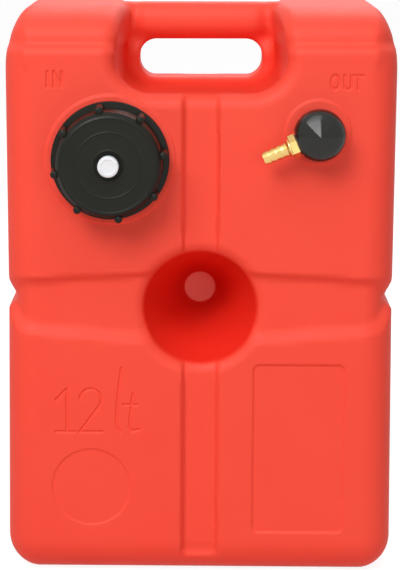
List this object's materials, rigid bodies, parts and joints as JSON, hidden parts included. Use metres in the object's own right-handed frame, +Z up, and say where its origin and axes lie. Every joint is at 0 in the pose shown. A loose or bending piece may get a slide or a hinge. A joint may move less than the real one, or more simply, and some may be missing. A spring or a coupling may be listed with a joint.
{
  "type": "outboard fuel tank",
  "caption": "Upright portable fuel tank with a moulded carrying handle, a vented screw cap and a screwed outlet head with a hose barb, pickup tube and strainer.",
  "frame": {"origin": "middle of the flat base, on the parting plane of the shell, with the tank standing upright", "axes": "+Z up, -Y out of the working face with the filler and the outlet, +X towards the outlet's side"},
  "size_m": [0.2518, 0.1959, 0.369],
  "materials": {
    "shell": "semi-gloss moulded red polyethylene",
    "cap": "black moulded polypropylene",
    "head": "smooth black moulded nylon",
    "vent": "white nylon",
    "barb": "turned brass",
    "gasket": "nitrile rubber",
    "seal": "nitrile rubber",
    "clip": "stainless steel",
    "washer": "white sealing plastic",
    "tube": "natural polyethylene tube",
    "strainer": "black acetal",
    "mesh": "nylon filter mesh"
  },
  "bodies": {
    "tank": {"front_shell": "shell", "rear_shell": "shell", "filler_neck": "shell", "outlet_neck": "shell"},
    "cap_seal": {"filler_gasket": "gasket"},
    "cap": {"filler_cap": "cap"},
    "vent_washer": {"vent_seal": "seal"},
    "vent": {"vent_screw": "vent", "vent_clip": "clip"},
    "outlet_seal": {"outlet_gasket": "gasket"},
    "outlet": {"outlet_head": "head", "barb_washer": "washer", "hose_barb": "barb", "pickup_tube": "tube", "strainer_body": "strainer", "strainer_mesh": "mesh"}
  },
  "joints": [
    {"name": "cap_lift", "type": "slide", "parent": "tank", "child": "cap_seal", "axis": [0, -1, 0], "range_m": [0, 0.01]},
    {"name": "cap_turn", "type": "hinge", "parent": "cap_seal", "child": "cap", "pos_m": [-0.057, -0.1, 0.2745], "axis": [0, -1, 0], "range_deg": [0, 900]},
    {"name": "vent_lift", "type": "slide", "parent": "cap", "child": "vent_washer", "axis": [0, -1, 0], "range_m": [0, 0.003]},
    {"name": "vent_turn", "type": "hinge", "parent": "vent_washer", "child": "vent", "pos_m": [-0.057, -0.11, 0.2745], "axis": [0, -1, 0], "range_deg": [0, 720]},
    {"name": "outlet_lift", "type": "slide", "parent": "tank", "child": "outlet_seal", "axis": [0, -1, 0], "range_m": [0, 0.004]},
    {"name": "outlet_turn", "type": "hinge", "parent": "outlet_seal", "child": "outlet", "pos_m": [0.074, -0.09, 0.292], "axis": [0, -1, 0], "range_deg": [0, 720]}
  ],
  "couplings": [
    {"joint": "cap_lift", "follows": "cap_turn", "m_per_rad": 0.0006366},
    {"joint": "vent_turn", "follows": "vent_lift", "rad_per_m": 4188.8},
    {"joint": "outlet_lift", "follows": "outlet_turn", "m_per_rad": 0.0003183}
  ]
}
